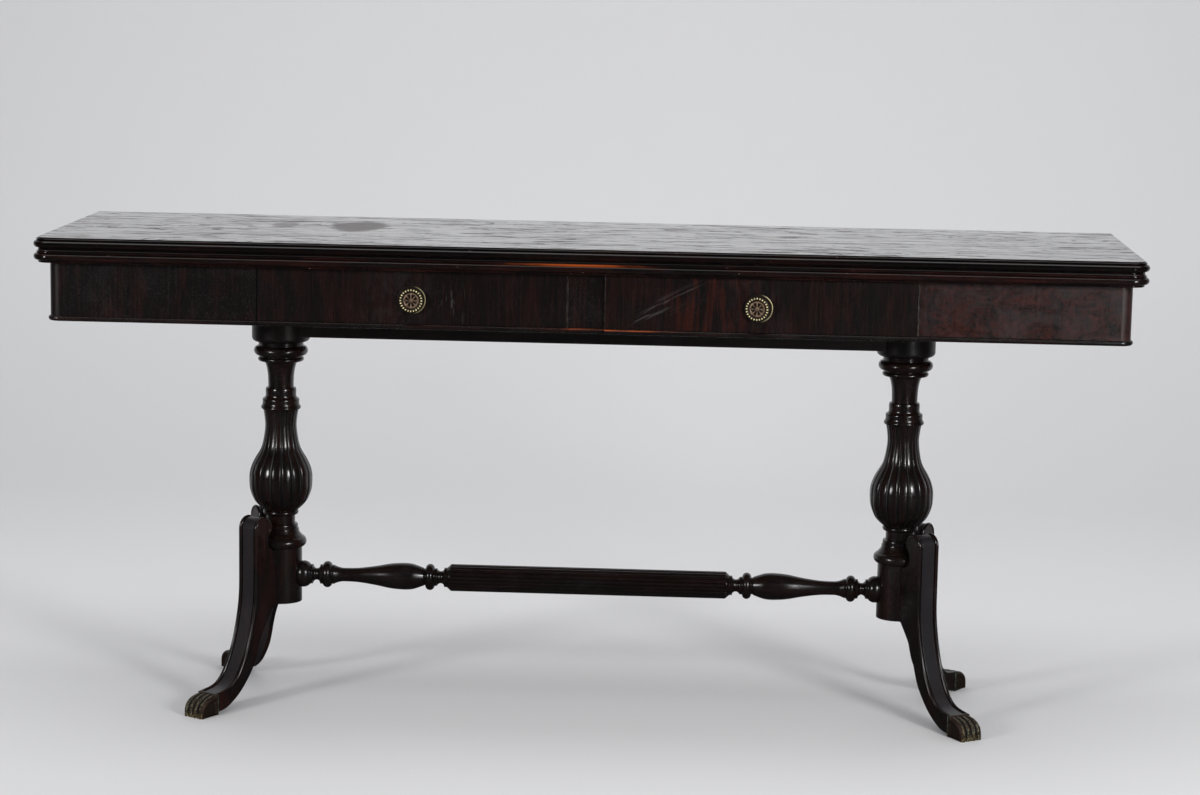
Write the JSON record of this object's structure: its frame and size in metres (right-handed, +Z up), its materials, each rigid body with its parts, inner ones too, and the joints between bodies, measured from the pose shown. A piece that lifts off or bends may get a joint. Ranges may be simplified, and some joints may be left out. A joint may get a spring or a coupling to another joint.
{
  "type": "fold-over pier table",
  "caption": "Long fold-over side table in dark mahogany: hinged sliding top, drawers with rosette pulls, reeded pedestals, splayed legs with brass paw feet and a turned stretcher.",
  "frame": {"origin": "on the floor, under the middle of the folded top", "axes": "+X along the table to the right seen from the front, +Y from the drawer side to the hinged back, +Z up"},
  "size_m": [1.704, 0.46, 0.762],
  "materials": {
    "mahogany": "very dark red-brown mahogany, old semi-gloss polish with a thin dusty haze",
    "frame_wood": "plain unpolished timber, aged",
    "drawer_wood": "dry unpolished drawer lining, aged",
    "paw_brass": "dark bronze patina with green verdigris in the grooves and worn gold edges",
    "pull_brass": "old brass, dark in the hollows and worn bright on the beads",
    "hinge_brass": "dull plain brass",
    "steel_screws": "dull steel"
  },
  "bodies": {
    "base": {"back_apron": "mahogany", "back_left_leg": "mahogany", "back_left_paw": "paw_brass", "back_right_leg": "mahogany", "back_right_paw": "paw_brass", "centre_divider": "frame_wood", "centre_stile": "mahogany", "front_left_leg": "mahogany", "front_left_paw": "paw_brass", "front_right_leg": "mahogany", "front_right_paw": "paw_brass", "left_apron_bead": "mahogany", "left_bearer": "frame_wood", "left_column": "mahogany", "left_column_cap": "mahogany", "left_corner_post": "mahogany", "left_divider": "frame_wood", "left_drawer_runners": "frame_wood", "left_end_apron": "mahogany", "left_front_panel": "mahogany", "left_guide_rail": "frame_wood", "right_apron_bead": "mahogany", "right_bearer": "frame_wood", "right_column": "mahogany", "right_column_cap": "mahogany", "right_corner_post": "mahogany", "right_divider": "frame_wood", "right_drawer_runners": "frame_wood", "right_end_apron": "mahogany", "right_front_panel": "mahogany", "right_guide_rail": "frame_wood", "stretcher": "mahogany", "under_rail": "mahogany"},
    "sliding_top": {"lower_leaf": "mahogany", "hinge_lower_plates": "hinge_brass", "hinge_pins": "hinge_brass", "hinge_lower_screws": "steel_screws", "left_top_runner": "frame_wood", "right_top_runner": "frame_wood"},
    "folding_leaf": {"upper_leaf": "mahogany", "hinge_upper_plates": "hinge_brass", "hinge_upper_screws": "steel_screws"},
    "left_drawer": {"left_drawer_front": "mahogany", "left_drawer_bead": "mahogany", "left_drawer_inner_side": "drawer_wood", "left_drawer_outer_side": "drawer_wood", "left_drawer_back": "drawer_wood", "left_drawer_bottom": "drawer_wood", "left_drawer_pull_plate": "pull_brass", "left_drawer_pull_knob": "pull_brass"},
    "right_drawer": {"right_drawer_front": "mahogany", "right_drawer_bead": "mahogany", "right_drawer_inner_side": "drawer_wood", "right_drawer_outer_side": "drawer_wood", "right_drawer_back": "drawer_wood", "right_drawer_bottom": "drawer_wood", "right_drawer_pull_plate": "pull_brass", "right_drawer_pull_knob": "pull_brass"}
  },
  "joints": [
    {"name": "top_slide", "type": "slide", "parent": "base", "child": "sliding_top", "axis": [0, -1, 0], "range_m": [0, 0.2]},
    {"name": "leaf_hinge", "type": "hinge", "parent": "sliding_top", "child": "folding_leaf", "pos_m": [0, 0.227, 0.7425], "axis": [-1, 0, 0], "range_deg": [0, 180]},
    {"name": "left_drawer_slide", "type": "slide", "parent": "base", "child": "left_drawer", "axis": [0, -1, 0], "range_m": [0, 0.26]},
    {"name": "right_drawer_slide", "type": "slide", "parent": "base", "child": "right_drawer", "axis": [0, -1, 0], "range_m": [-0.007, 0.253]}
  ]
}
